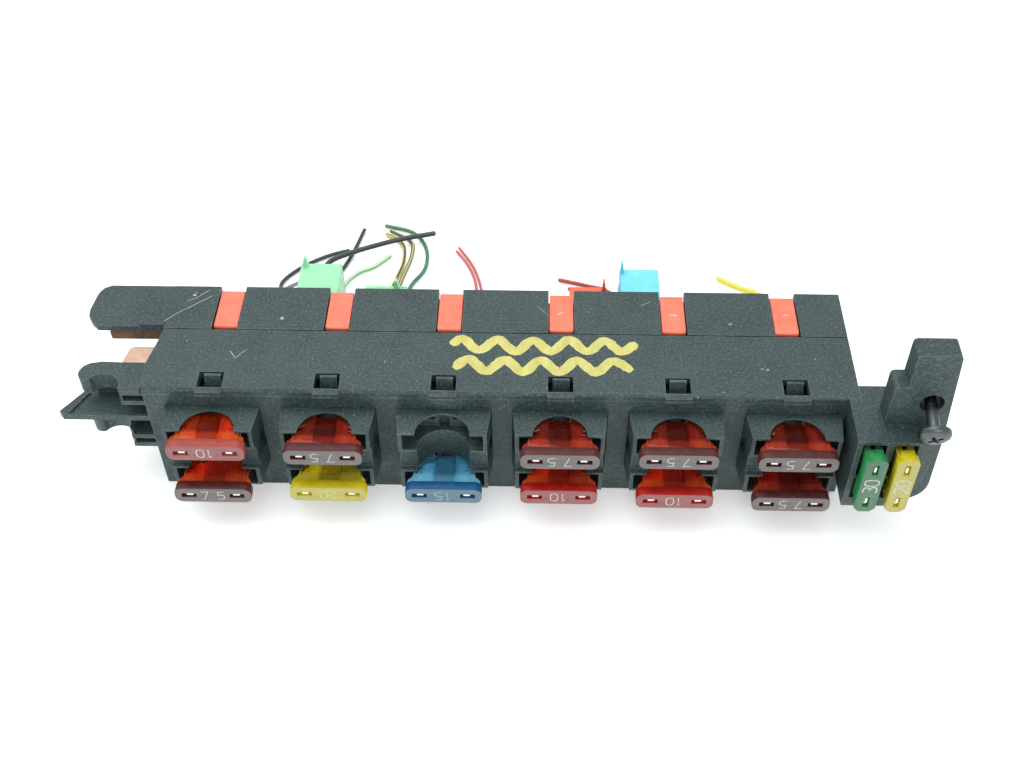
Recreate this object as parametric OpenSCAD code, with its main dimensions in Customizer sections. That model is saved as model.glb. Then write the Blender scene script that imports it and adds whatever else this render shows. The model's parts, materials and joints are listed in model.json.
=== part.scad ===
// Vehicle fuse box panel: six plug-in fuse modules in one housing.
// The origin is the centre of the housing's flat base, +X along the row of fuses,
// +Y towards the wire connectors, +Z up. All sizes are in millimetres.

/* [Body] */
// Length of the housing along the row of columns
body_w = 174; // [174:1:178]
// Depth of the housing, front wall to rear wall
body_d = 37; // [36:1:38]
// Height of the housing to the top of the cover
body_h = 36; // [36:1:37]
// Thickness of the moulded walls
wall = 2; // [1.8:0.1:2.2]
// Distance between fuse columns
pitch = 28.7; // [28.6:0.1:29]
// Thickness of the front cover
cover_t = 2.2; // [2:0.1:2.4]

/* [Blade fuses] */
// Width of a fuse's head
fuse_w = 19.1; // [18.8:0.1:19.1]
// Thickness of a fuse's head
fuse_t = 5.1; // [4.8:0.1:5.1]
// Depth of a fuse's plastic body
fuse_d = 12.3; // [12:0.1:12.3]
// Full depth of a fuse with its blades
fuse_full = 19; // [18.6:0.1:19]
// Width of one blade
blade_w = 5.2; // [5:0.1:5.2]
// Thickness of the blades
blade_t = 0.7; // [0.6:0.1:0.7]

/* [Sockets] */
// How far the socket frames stand out from the front wall
frame_out = 8.25; // [8:0.25:9]
// Radius of the finger arch in each socket wall
arch_r = 6.7; // [5:0.1:7]
// Height of the upper socket's middle
upper_z = 26.7; // [26.6:0.1:26.8]
// Height of the lower socket's middle
lower_z = 12.9; // [12.8:0.1:13]

/* [Locks and rail] */
// Width of a red lock bar
lock_w = 6; // [5.6:0.1:6.2]
// Length of a red lock bar
lock_l = 13.2; // [12.4:0.1:13.4]
// Thickness of the rear rail
rail_t = 5.5; // [5.5:0.1:5.6]

/* [Screw] */
// Radius of the screw's plain shank
shank_r = 1.45; // [1.3:0.05:1.5]
// Radius over the screw's thread
thread_r = 1.75; // [1.6:0.05:1.75]
// Radius of the screw's pan head
screw_head_r = 3.85; // [3.5:0.05:4]
// Radius of the hole in the screw plate
plate_hole_r = 2.9; // [2.9:0.05:3.1]

/* [Hidden] */
eps = 0.01;
columns = 6;
colour_black = "#23282a";
colour_lock = "#ef4a33";
colour_copper = "#c9835a";
colour_steel = "#b9bcc0";

half_w = body_w / 2;
half_d = body_d / 2;
cover_z = body_h - cover_t;
seam_y = 2.6;
seam_gap = 0.35;
col_x = [for (i = [0 : columns - 1]) (i - (columns - 1) / 2) * pitch];

// Holder window in the front wall, and the socket frames
window_half = 11.9;
window_z0 = 9.4;
window_z1 = 30.2;
frame_half_back = 11.8;
frame_half_front = 10.9;
slot_half = 9.95;
slot_h = 5.4;
frame_h = 6.6;
frame_y = -half_d - frame_out;
carrier_y0 = -half_d + wall;
carrier_y1 = -4;
carrier_half = 12.4;
latch_half = 3.1;
latch_y0 = 0.75;
latch_y1 = -12.55;
catch_half = 3.25;
catch_z = 34.4;
nose_dx = 0.15;
blade_x = 5;
receptacle_w = 6.2;
receptacle_h = 2.6;

// Front face of each fuse, which stands out as far as it was pushed in
upper_face_y = [-31.2, -32.0, 0, -32.2, -31.7, -32.0];
lower_face_y = [-33.2, -32.3, -32.2, -32.1, -32.8, -33.2];
upper_used = [0, 1, 3, 4, 5];
red = "#d9341f";
upper_colour = [red, red, red, red, red, red];
lower_colour = [red, "#e8c81c", "#2f93c8", red, red, red];

// Right bracket: screw plate, shelf and the pocket of the two upright fuses
plate_y0 = -26.9;
plate_y1 = -21.05;
pocket_y = -32.55;
pocket_x0 = 84.2;
pocket_x1 = 101.9;
pocket_z0 = 12.2;
side_floor_y = -24.5;
side_x = [88.4, 95.8];
side_z = 25.2;
side_face_y = -37.05;
side_colour = ["#2f8a4a", "#dfc11b"];
hole_x = 100.6;
hole_z = 43.7;
screw_tilt = 17;
screw_shank = 14.2;
screw_thread = 3.4;
screw_reach = 9.6;

// Long lug of the rear rail, as a plan outline
lug = [[-half_w + eps, 18.4], [-103.6, 18.4], [-105.4, 17.5], [-106.4, 16], [-106.8, 14.4],
       [-107.4, 9], [-107.1, 6.7], [-105.8, 4.6], [-104.2, 3.1], [-half_w + eps, 3.1]];

// Rear connectors: centre, width and rear end of each
conn_z0 = 16;
conn_z1 = 30;
conn_in = 12.5;
conn_x = [-51, -32.5, -6.9, 22, 36, 64.8];
conn_w = [11.2, 11.2, 9.4, 10, 10.6, 9.4];
conn_y = [34.3, 25.7, 24.5, 26.2, 33.6, 24.5];
fin_dx = [-4.2, 2.9, 0, 4.2, -4.7, 0];
fin_half = [0.9, 0.9, 0, 0.55, 0.5, 0];
pin_wall_y = 6.4;
pin_wall_t = 1.6;
wire_z = 23;

// Wire routes, one point per ring, and the wire diameters
wire_d = 1.6;
wire_thin = 1.2;
wire_fine = 0.9;
black_1 = [[-55, 34.3, 23], [-62, 47, 11], [-68.5, 54, 2], [-69, 59.5, 0.7], [-64, 66, 0.7],
           [-57, 71.2, 0.7], [-50.5, 74, 0.7]];
black_2 = [[-53, 34.3, 20], [-55, 47, 10], [-57, 56, 3], [-56, 65, 2.9], [-50, 70, 2.9],
           [-36, 76.5, 2.9], [-24, 80.1, 2.9]];
black_3 = [[-50.5, 34.3, 23], [-52.5, 46, 11], [-54.5, 54, 2], [-53.5, 60.5, 0.7],
           [-50.8, 67, 0.7], [-48.6, 75, 0.7], [-46.7, 84.1, 0.7]];
green_white = [[-47.5, 34.3, 23], [-48.5, 46, 11], [-50, 53, 2], [-50, 58.5, 0.7],
               [-46.5, 63.7, 0.7], [-42, 66.5, 0.7], [-37.5, 71.5, 0.7]];
yellow_black = [[-35.5, 25.7, 24], [-36, 41, 12], [-36.8, 51, 2], [-34.8, 60.5, 0.7],
                [-33.1, 69, 0.7], [-34, 77, 0.7], [-39.5, 82, 0.7]];
grey_black = [[-33, 25.7, 24], [-33.5, 41, 12], [-34.5, 51, 2], [-33, 61, 0.7],
              [-30.9, 71, 0.7], [-31.5, 78.4, 0.7], [-38.3, 83.6, 0.7]];
dark_green = [[-30, 25.7, 24], [-30.8, 41, 12], [-31.5, 50, 2], [-29.8, 58.5, 0.7],
              [-26.2, 66, 0.7], [-26.5, 75.3, 0.7], [-31, 82.8, 0.7], [-40.1, 86.1, 0.7]];
red_fine_1 = [[-8, 24.5, 23], [-8.8, 39, 12], [-9.5, 50, 2], [-10.6, 60.5, 0.6],
              [-13.1, 67.8, 0.6], [-16.9, 74.3, 0.6]];
red_fine_2 = [[-5.5, 24.5, 23], [-6.3, 39, 12], [-7.5, 50, 2], [-9.3, 60.5, 0.6],
              [-11.9, 68.2, 0.6], [-16.2, 75.9, 0.6]];
red_1 = [[23.5, 26.2, 23], [27, 39, 12], [31, 48.5, 2], [31.8, 54, 0.7], [28.5, 57.4, 0.7],
         [23.8, 59, 0.7], [14.9, 61.6, 0.7]];
red_2 = [[21, 26.2, 23], [23.5, 39, 12], [27, 48.5, 2], [27.8, 53, 0.7], [25, 56, 0.7],
         [17.9, 57.7, 0.7]];
yellow = [[64.8, 24.5, 23], [69, 37, 12], [75, 46.5, 2.5], [77, 52, 0.9], [74.5, 56.3, 0.9],
          [69, 59, 0.9], [63.3, 62.9, 0.9]];

// ---------- helpers ----------

// A box from its low corner to its high corner
module block(lo, hi) {
    translate(lo) cube(hi - lo);
}

// A box that is symmetric in X about a centre
module bar(x, half, y0, y1, z0, z1) {
    block([x - half, y0, z0], [x + half, y1, z1]);
}

// A plan outline raised from z0 to z1
module plan(points, z0, z1) {
    translate([0, 0, z0]) linear_extrude(z1 - z0) polygon(points);
}

// An outline drawn in X and Z, filled from y0 back to y1
module elevation(points, y0, y1) {
    translate([0, y1, 0]) rotate([90, 0, 0]) linear_extrude(y1 - y0) polygon(points);
}

// Points of an arc about a centre
function arc(centre, r, a0, a1, steps = 6) =
    [for (i = [0 : steps]) let (a = a0 + (a1 - a0) * i / steps) centre + r * [cos(a), sin(a)]];

// Moves the children to a fuse's place: lying in a column, or upright at the side
module at_column(i, face_y, z) {
    translate([col_x[i], face_y, z]) children();
}

module at_side(i) {
    translate([side_x[i], side_face_y, side_z]) rotate([0, 90, 0]) children();
}

function unit(v) = v / norm(v);
function heading(p, i) =
    i == 0 ? unit(p[1] - p[0]) :
    i == len(p) - 1 ? unit(p[i] - p[i - 1]) :
    unit(unit(p[i + 1] - p[i]) + unit(p[i] - p[i - 1]));

// A round wire swept along its route
module wire(route, d) {
    sides = 8;
    rings = len(route);
    skin = [for (i = [0 : rings - 1])
                let (t = i == 0 ? [0, 1, 0] : heading(route, i),
                     side = unit(cross(t, [0, 0, 1])),
                     up = cross(side, t))
                for (k = [0 : sides - 1])
                    route[i] + d / 2 * (cos(k * 360 / sides) * side + sin(k * 360 / sides) * up)];
    walls = [for (i = [0 : rings - 2], k = [0 : sides - 1])
                let (n = (k + 1) % sides)
                [i * sides + k, (i + 1) * sides + k, (i + 1) * sides + n, i * sides + n]];
    near_cap = [for (k = [0 : sides - 1]) k];
    far_cap = [for (k = [0 : sides - 1]) rings * sides - 1 - k];
    polyhedron(skin, concat(walls, [near_cap, far_cap]));
}

// ---------- housing ----------

// The lower box with its windows, and everything moulded on it
module housing() {
    color(colour_black) {
        difference() {
            union() {
                block([-half_w, -half_d, 0], [half_w, seam_y, cover_z]);
                block([-half_w, seam_y, 0], [half_w, half_d, body_h - rail_t]);
                block([-half_w - 1.4, -half_d, 0], [-half_w, -7, cover_z]);
            }
            block([-half_w + wall, -half_d + wall, wall], [half_w - wall, half_d - wall, body_h]);
            for (x = col_x)
                bar(x, window_half, -half_d - eps, -half_d + wall + eps, window_z0, window_z1);
            for (x = col_x)
                bar(x, latch_half, -half_d + latch_y0, -half_d + wall + eps, window_z1 - eps, body_h);
            for (i = [0 : columns - 1])
                bar(conn_x[i], conn_w[i] / 2 + 0.15, half_d - wall - eps, half_d + eps,
                    conn_z0 - 0.15, conn_z1 + 0.15);
            busbar_gates();
        }
        column_ribs();
        pin_wall();
        right_bracket();
        left_bracket();
    }
}

// Notches in the left wall where the two copper strips come out
module busbar_gates() {
    block([-half_w - 2, -8, 31.6], [-half_w + wall + eps, -1.1, 32.8]);
    block([-half_w - 2, 3.8, 26], [-half_w + wall + eps, 5, body_h]);
}

// Ribs between the fuse modules
module column_ribs() {
    for (i = [0 : columns - 2])
        bar(col_x[i] + pitch / 2, 0.9, -half_d + wall, -4, wall, 31);
}

// Inner wall that holds the contact pins
module pin_wall() {
    difference() {
        block([-half_w + wall, pin_wall_y, wall], [half_w - wall, pin_wall_y + pin_wall_t, 26]);
        pins();
    }
}

module right_bracket() {
    foot_z = 7.7;
    foot_r = 6.6;
    top_z = 59.4;
    step_z = 49;
    corner_r = 1;
    shelf_z = 33.5;
    shelf_x1 = 99.9;
    shelf_y1 = -14.25;
    outline = concat([[pocket_x0, pocket_z0], [93, pocket_z0], [95, foot_z]],
                     arc([100, foot_z + foot_r], foot_r, -90, 0), [[106.2, 30]],
                     arc([103.3, top_z - corner_r], corner_r, 0, 90, 4),
                     arc([95.1, top_z - corner_r], corner_r, 90, 180, 4), [[94.1, step_z]],
                     arc([92, step_z - corner_r], corner_r, 90, 180, 4),
                     [[91, 35], [pocket_x0, 35]]);
    difference() {
        union() {
            elevation(outline, plate_y0, plate_y1);
            block([pocket_x0, pocket_y, pocket_z0], [shelf_x1, plate_y0, body_h]);
            block([shelf_x1, pocket_y, 21.5], [pocket_x1, plate_y0, body_h]);
            block([pocket_x0, plate_y0, shelf_z], [pocket_x1, -half_d, body_h]);
            block([half_w, -half_d, shelf_z], [shelf_x1, shelf_y1, body_h]);
            block([half_w, plate_y1, pocket_z0], [shelf_x1, shelf_y1, shelf_z + 0.1]);
            block([pocket_x0, plate_y1, pocket_z0], [half_w, -half_d, shelf_z + 0.1]);
        }
        for (x = side_x) {
            bar(x, 2.85, pocket_y - eps, side_floor_y, side_z - 9.85, side_z + 9.85);
            for (z = [-blade_x, blade_x]) {
                bar(x, 0.55, side_floor_y - eps, -23, side_z + z - 2.7, side_z + z + 2.7);
                bar(x, receptacle_h / 2, -23.1, -14, side_z + z - receptacle_w / 2,
                    side_z + z + receptacle_w / 2);
            }
        }
        translate([hole_x, plate_y1 + 1, hole_z]) rotate([90, 0, 0])
            cylinder(r = plate_hole_r, h = plate_y1 - plate_y0 + 2, $fn = 48);
    }
}

// Two hooked shelves, pointed guide plate between them and the stacked fins at the left end
module left_bracket() {
    root_x = -half_w - 1.4 + eps;
    front_y = -18.3;
    web_y0 = -10;
    web_y1 = -8.3;
    arm_x = -93.6;
    tip_x = -110.1;
    hook_z = 29.6;
    foot_z = 15;
    guide_z = 23.9;
    shelf_z = 33.1;
    contour = concat([[-95.6, web_y1], [-100.4, -8.1]],
                     arc([-102, -12.1], 3.6, 95, 180),
                     arc([-103.25, -12.1], 2.35, 190, 290),
                     arc([-98.9, -16.6], 4.3, 130, 0, 8),
                     [[-94.6, -17.4], [-93.8, front_y]]);
    shelf = concat([[root_x, web_y1]], contour, [[root_x, front_y]]);
    arm = concat([[arm_x, web_y1]], contour, [[arm_x, front_y]]);
    guide_edge = [[tip_x, front_y], [tip_x - 1, -17.3], [-106.2, web_y0], [-105.2, -9]];
    difference() {
        plan(shelf, shelf_z, shelf_z + 1.4);
        block([-89.1, -half_d - 1, cover_z], [-half_w, 0, body_h]);
    }
    plan(arm, hook_z, shelf_z + 0.1);
    plan(arm, foot_z, 19.9);
    block([-103.2, web_y0, foot_z], [root_x, web_y1, shelf_z + 0.1]);
    plan(concat([[root_x, front_y]], guide_edge, [[root_x, -9]]), guide_z, guide_z + 1.4);
    block([tip_x, front_y, guide_z], [root_x, front_y + 0.7, guide_z + 1.7]);
    plan([[tip_x, front_y], [tip_x - 1, -17.3], [-106.2, web_y0], [-104.9, -10.6],
          [-108.8, front_y]], guide_z, guide_z + 2);
    for (z = [14, 17.1, 29.7])
        block([-94.3, front_y, z], [root_x, web_y0 + 1, z + 1.4]);
}

// ---------- cover and rail ----------

module top_cover() {
    edge_r = 0.9;
    lip_x = -88.4;
    left = [[-86.8, seam_y - seam_gap], [-87.6, -3], [-89, -10.5], [lip_x, -half_d + edge_r]];
    color(colour_black) {
        difference() {
            union() {
                plan(concat(left, [[half_w, -half_d + edge_r], [half_w, seam_y - seam_gap]]),
                     cover_z, body_h);
                block([lip_x, -half_d, cover_z], [half_w, -half_d + edge_r + eps, body_h - edge_r]);
                block([pocket_x0, -half_d, cover_z], [half_w, -half_d + edge_r + eps, body_h]);
                translate([lip_x, -half_d + edge_r, body_h - edge_r]) rotate([0, 90, 0])
                    cylinder(r = edge_r, h = pocket_x0 - lip_x, $fn = 32);
                for (x = col_x) cover_catch(x, edge_r);
            }
            for (x = col_x)
                bar(x, latch_half, -half_d + latch_y0, latch_y1, cover_z - 3, body_h + 1);
        }
    }
}

// Catch in front of a latch window, with a ridge along its lower edge
module cover_catch(x, depth) {
    top_z = body_h - 0.4;
    bar(x, catch_half, -half_d - 0.8, -half_d, catch_z, top_z);
    bar(x, catch_half, -half_d - eps, -half_d + depth, cover_z, top_z);
    bar(x, catch_half, -half_d - 1.1, -half_d, catch_z, catch_z + 0.35);
}

// Seven panels in one rail, with a groove on each side of every lock bar
module connector_rail() {
    rail_z = body_h - rail_t;
    slot_half_w = lock_w / 2 + 0.3;
    color(colour_black)
        difference() {
            union() {
                block([-half_w, seam_y, rail_z], [half_w, half_d, body_h]);
                plan(lug, body_h - 1.7, body_h);
                plan([[-93.3, 3.1], [-93.1, 5.2], [-92.6, 6.8], [-90.7, 6], [-89.1, 4], [-87, 4.5],
                      [-87, 3.1]], body_h - 1, body_h + 0.8);
            }
            for (x = col_x) {
                bar(x + 0.28, slot_half_w, seam_y - 1, half_d + 1, rail_z + 1, body_h + 1);
                bar(x + 0.28, slot_half_w + 0.8, seam_y - 1, half_d + 1, rail_z + 2, rail_z + 3.6);
            }
            for (i = [0 : columns])
                panel_hollow(i);
            block([-half_w - 1, 3.8, 29], [-76, 5, 33.6]);
        }
}

// Hollow under one panel of the rail
module panel_hollow(i) {
    margin = lock_w / 2 + 0.3 + 2.4;
    x0 = i == 0 ? -half_w + 1.6 : col_x[i - 1] + 0.28 + margin;
    x1 = i == columns ? half_w - 1.6 : col_x[i] + 0.28 - margin;
    block([x0, seam_y + 1.6, body_h - rail_t - 1], [x1, half_d - 1.6, body_h - 2]);
}

module lock(i) {
    x = col_x[i] + 0.28;
    z0 = body_h - rail_t + 1.1;
    z1 = body_h - 0.6;
    y0 = seam_y + 1.5;
    nose_r = 0.8;
    color(colour_lock) {
        bar(x, lock_w / 2, y0 + nose_r, y0 + lock_l, z0, z1);
        bar(x, lock_w / 2, y0, y0 + nose_r + eps, z0, z1 - nose_r);
        translate([x - lock_w / 2, y0 + nose_r, z1 - nose_r]) rotate([0, 90, 0])
            cylinder(r = nose_r, h = lock_w, $fn = 32);
        bar(x, lock_w / 2 + 0.8, y0 + 2, y0 + lock_l - 2, z0 + 1.2, z0 + 2.2);
    }
}

// ---------- fuse holders ----------

// One socket frame: a slot for the fuse's head, with arches for finger tips
module socket_frame(x, z) {
    difference() {
        plan([[x - frame_half_back, -half_d], [x - frame_half_back, carrier_y0 + eps],
              [x + frame_half_back, carrier_y0 + eps], [x + frame_half_back, -half_d],
              [x + frame_half_front, frame_y], [x - frame_half_front, frame_y]],
             z - frame_h / 2, z + frame_h / 2);
        bar(x, slot_half, frame_y - 1, -half_d, z - slot_h / 2, z + slot_h / 2);
        translate([x, frame_y, z - frame_h]) cylinder(r = arch_r, h = 2 * frame_h, $fn = 64);
    }
}

// Core between the two frames, set back from their front edges
module frame_core(x) {
    difference() {
        bar(x, frame_half_front, frame_y + 1.5, carrier_y0 + eps, lower_z, upper_z);
        translate([x, frame_y, 0]) cylinder(r = arch_r, h = body_h, $fn = 64);
        for (z = [upper_z, lower_z])
            bar(x, slot_half, frame_y - 1, -half_d, z - slot_h / 2, z + slot_h / 2);
    }
}

// Snap nose behind the cover's catch: a steep front face with its crest at the rear
module latch_nose(x) {
    half = 2.1;
    foot_z = 30.9;
    rear_y = latch_y1 - 0.4;
    translate([x - half, 0, 0]) rotate([90, 0, 90]) linear_extrude(2 * half)
        polygon([[-17.2, foot_z], [-15.3, 31.6], [-13.5, body_h - 0.35], [rear_y, body_h - 0.2],
                 [rear_y, foot_z]]);
}

module fuse_holder(i) {
    x = col_x[i];
    color(colour_black)
        difference() {
            union() {
                socket_frame(x, upper_z);
                socket_frame(x, lower_z);
                frame_core(x);
                bar(x, carrier_half, carrier_y0, carrier_y1, 7, 31);
                latch_nose(x + nose_dx);
            }
            for (z = [upper_z, lower_z])
                bar(x, 1.4, -half_d - eps, -half_d + 1.2, z - slot_h / 2, z + slot_h / 2);
            for (z = [upper_z, lower_z], s = [-1, 1]) {
                bar(x + s * blade_x, blade_w / 2 + 0.15, -half_d - eps, carrier_y0 + 0.2,
                    z - 0.55, z + 0.55);
                bar(x + s * blade_x, receptacle_w / 2, carrier_y0 + 0.1, carrier_y1 + eps,
                    z - receptacle_h / 2, z + receptacle_h / 2);
            }
        }
}

// ---------- electrical parts inside ----------

// A receptacle: a sleeve that grips one blade, with a tail
module receptacle(y0, y1, depth) {
    difference() {
        bar(0, receptacle_w / 2, y0, y1, -receptacle_h / 2, receptacle_h / 2);
        bar(0, blade_w / 2 + 0.2, y0 - eps, y0 + depth, -blade_t / 2 - 0.1, blade_t / 2 + 0.1);
    }
}

module terminals() {
    color(colour_steel) {
        for (x = col_x, z = [upper_z, lower_z], s = [-1, 1])
            translate([x + s * blade_x, 0, z]) receptacle(carrier_y0 + 0.1, carrier_y1, 7.4);
        for (x = side_x, s = [-1, 1])
            translate([x, 0, side_z + s * blade_x]) rotate([0, 90, 0]) receptacle(-23.1, -14.5, 6.4);
    }
}

module pins() {
    for (x = conn_x, s = [-1, 1])
        bar(x + s * 2.4, 0.75, pin_wall_y - 0.8, 15.4, wire_z - 0.4, wire_z + 0.4);
}

module contact_pins() {
    color(colour_steel) pins();
}

// Strip behind the rail, with its feed tab under the left lug
module busbar_upper() {
    strip = [[-101.6, 30.9], [-101.6, 33.3], [-101.2, 33.6], [-77, 33.6], [-77, 30], [80, 30],
             [80, 27], [-81, 27], [-81, 30.7], [-101.2, 30.6]];
    color(colour_copper) elevation(strip, 3.8, 5);
}

// Strip above the modules, with a feed tab at the left and a leg to each column
module busbar_lower() {
    color(colour_copper) {
        plan([[-96.4, -8], [-95.3, -2], [-94.4, -1.1], [-84, -1.1], [-84, -2], [80, -2], [80, -5],
              [-84, -5], [-84, -8]], 31.6, 32.8);
        for (x = col_x)
            block([x - blade_x - 2, -4, 11], [x - blade_x + 2, -3, 31.7]);
    }
}

// ---------- fuses ----------

// Plastic body: wide head, narrower tail, test windows and the pocket of the element
module fuse_body(tone) {
    head_d = 4;
    color(tone)
        difference() {
            union() {
                fuse_head(head_d);
                bar(0, 7.75, head_d - eps, fuse_d, -2.2, 2.2);
            }
            for (s = [-1, 1]) {
                bar(s * 6, 1.85, -eps, 0.9 + eps, -0.75, 0.75);
                bar(s * blade_x, blade_w / 2, 0.9, fuse_d + eps, -blade_t / 2, blade_t / 2);
            }
            bar(0, 3, 4.6, 9, -0.9, 0.9);
        }
}

// Head of the fuse, with round corners in X and Z
module fuse_head(depth) {
    r = 1.9;
    x = fuse_w / 2 - r;
    z = fuse_t / 2 - r;
    elevation(concat(arc([x, -z], r, -90, 0), arc([x, z], r, 0, 90), arc([-x, z], r, 90, 180),
                     arc([-x, -z], r, 180, 270)), 0, depth);
}

// Metal element: two pointed blades and the thin link that melts
module fuse_element() {
    half = blade_w / 2;
    color(colour_steel) {
        for (s = [-1, 1])
            translate([s * blade_x, 0, -blade_t / 2])
                plan([[-half, 0.9], [half, 0.9], [half, fuse_full - 1.2], [half - 1.1, fuse_full],
                      [-half + 1.1, fuse_full], [-half, fuse_full - 1.2]], 0, blade_t);
        plan([[-2.5, 5.2], [-1.2, 5.2], [1.2, 7.4], [2.5, 7.4], [2.5, 8.2], [0.8, 8.2], [-1.6, 6],
              [-2.5, 6]], -0.25, 0.25);
    }
}

// ---------- screw and connectors ----------

module screw() {
    color("#2b2e30")
        translate([hole_x, (plate_y0 + plate_y1) / 2, hole_z]) rotate([screw_tilt - 90, 0, 0])
            translate([0, 0, -screw_reach]) {
                difference() {
                    translate([0, 0, -2.4]) pan_head();
                    for (a = [0, 90])
                        rotate([0, 0, a]) bar(0, 0.45, -2.1, 2.1, -3, -1.2);
                }
                cylinder(r = shank_r, h = screw_shank, $fn = 40);
                translate([0, 0, screw_shank - eps]) cylinder(r = thread_r, h = screw_thread, $fn = 40);
                translate([0, 0, screw_shank + screw_thread - eps])
                    cylinder(r1 = thread_r - 0.3, r2 = 0.5, h = 1.2, $fn = 40);
            }
}

module pan_head() {
    rotate_extrude($fn = 48)
        polygon([[0, 0], [2, 0], [3, 0.4], [3.6, 1], [screw_head_r, 1.7], [screw_head_r, 2.1],
                 [3.5, 2.4], [0, 2.4]]);
}

// Wire connector: a shell with a pointed latch fin at the rear and holes for the pins
module connector(i, tone) {
    x = conn_x[i];
    half = conn_w[i] / 2;
    rear = conn_y[i];
    color(tone)
        difference() {
            union() {
                bar(x, half, conn_in, rear, conn_z0, conn_z1);
                if (fin_dx[i] != 0)
                    translate([x + fin_dx[i], 0, conn_z1 - eps])
                        elevation([[-fin_half[i], 0], [fin_half[i], 0], [0.25, 3.6], [-0.25, 3.6]],
                                  rear - 1.6, rear);
            }
            for (s = [-1, 1])
                bar(x + s * 2.4, 0.95, conn_in - eps, 16, wire_z - 0.6, wire_z + 0.6);
            if (rear > 32)
                block([x - half - eps, rear - 4, conn_z0 + 3], [x - half + 0.8, rear - 1.5, conn_z1 - 3]);
        }
}

housing();
top_cover();
connector_rail();
fuse_holder(0);  // fuse_holder_1
fuse_holder(1);  // fuse_holder_2
fuse_holder(2);  // fuse_holder_3
fuse_holder(3);  // fuse_holder_4
fuse_holder(4);  // fuse_holder_5
fuse_holder(5);  // fuse_holder_6
terminals();
contact_pins();
busbar_upper();
busbar_lower();
for (i = [0 : columns - 1])
    lock(i);
for (i = upper_used) {
    at_column(i, upper_face_y[i], upper_z) fuse_body(upper_colour[i]);
    at_column(i, upper_face_y[i], upper_z) fuse_element();
}
for (i = [0 : columns - 1]) {
    at_column(i, lower_face_y[i], lower_z) fuse_body(lower_colour[i]);
    at_column(i, lower_face_y[i], lower_z) fuse_element();
}
for (i = [0, 1]) {
    at_side(i) fuse_body(side_colour[i]);
    at_side(i) fuse_element();
}
screw();
connector(0, "#8fc79a");  // connector_green_1
connector(1, "#8fc79a");  // connector_green_2
connector(2, "#303436");  // connector_black_1
connector(3, "#c9432f");  // connector_red
connector(4, "#7cc3dc");  // connector_blue
connector(5, "#303436");  // connector_black_2
color("#33383a") {  // wires_black
    wire(black_1, wire_thin);
    wire(black_2, wire_d);
    wire(black_3, wire_thin);
}
color("#8cc08c") wire(green_white, wire_thin);  // wire_green_white
color("#8a7d3a") {  // wires_yellow_black
    wire(yellow_black, wire_thin);
    wire(grey_black, wire_thin);
}
color("#3e7d4c") wire(dark_green, wire_thin);  // wire_dark_green
color("#d4504a") {  // wires_red_fine
    wire(red_fine_1, wire_fine);
    wire(red_fine_2, wire_fine);
}
color("#c23a34") {  // wires_red
    wire(red_1, wire_thin);
    wire(red_2, wire_thin);
}
color("#d9bd2a") wire(yellow, wire_d);  // wire_yellow
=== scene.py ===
"""Fuse box panel: the looks of every piece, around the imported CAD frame."""
import json
import math
import random

import bmesh
import bpy
from mathutils import Euler, Matrix, Vector


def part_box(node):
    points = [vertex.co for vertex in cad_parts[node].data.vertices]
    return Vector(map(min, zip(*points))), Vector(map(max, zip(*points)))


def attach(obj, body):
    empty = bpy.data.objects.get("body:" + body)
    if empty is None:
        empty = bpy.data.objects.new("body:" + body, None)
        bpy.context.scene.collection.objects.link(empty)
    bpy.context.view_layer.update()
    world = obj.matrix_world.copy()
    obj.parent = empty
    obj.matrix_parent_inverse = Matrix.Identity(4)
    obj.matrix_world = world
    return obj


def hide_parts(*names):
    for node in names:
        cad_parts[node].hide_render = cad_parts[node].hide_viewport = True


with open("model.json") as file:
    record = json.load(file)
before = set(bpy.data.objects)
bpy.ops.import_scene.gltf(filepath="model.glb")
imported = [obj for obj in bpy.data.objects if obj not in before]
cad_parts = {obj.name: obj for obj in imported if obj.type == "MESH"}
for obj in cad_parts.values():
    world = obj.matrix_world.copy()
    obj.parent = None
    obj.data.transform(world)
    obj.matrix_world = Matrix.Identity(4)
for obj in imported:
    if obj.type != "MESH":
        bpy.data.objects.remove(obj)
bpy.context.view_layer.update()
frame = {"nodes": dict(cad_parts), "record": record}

MM = 0.001
NODES = frame["nodes"]


# ---------------------------------------------------------------- helpers

def mm(*values):
    """Millimetres to a vector in metres."""
    return Vector([v * MM for v in values])


def link(name, data, body=None):
    """A new object for this mesh or curve, riding on a body."""
    obj = bpy.data.objects.new(name, data)
    bpy.context.scene.collection.objects.link(obj)
    if body:
        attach(obj, body)
    return obj


def from_bmesh(name, bm, smooth=None):
    """A mesh from bmesh data; smooth is the largest angle in degrees that is shaded smooth."""
    bmesh.ops.recalc_face_normals(bm, faces=bm.faces)
    mesh = bpy.data.meshes.new(name)
    bm.to_mesh(mesh)
    bm.free()
    if smooth is not None:
        shade(mesh, smooth)
    return mesh


def shade(mesh, angle):
    mesh.polygons.foreach_set("use_smooth", [True] * len(mesh.polygons))
    mesh.set_sharp_from_angle(angle=math.radians(angle))


def add_box(bm, low, high):
    """A box in the bmesh, from its low corner to its high corner, in millimetres."""
    size = [h - l for l, h in zip(low, high)]
    centre = [(h + l) / 2 for l, h in zip(low, high)]
    matrix = Matrix.Translation(mm(*centre)) @ Matrix.Diagonal(mm(*size).to_4d())
    matrix[3][3] = 1
    bmesh.ops.create_cube(bm, size=1, matrix=matrix)


def prism(bm, outline, low, high, place):
    """Fills an outline between two levels; place turns (u, v, level) into a point in millimetres."""
    near = [bm.verts.new(mm(*place(u, v, low))) for u, v in outline]
    far = [bm.verts.new(mm(*place(u, v, high))) for u, v in outline]
    count = len(outline)
    for i in range(count):
        j = (i + 1) % count
        bm.faces.new((near[i], near[j], far[j], far[i]))
    bm.faces.new(near)
    bm.faces.new(far[::-1])


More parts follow.
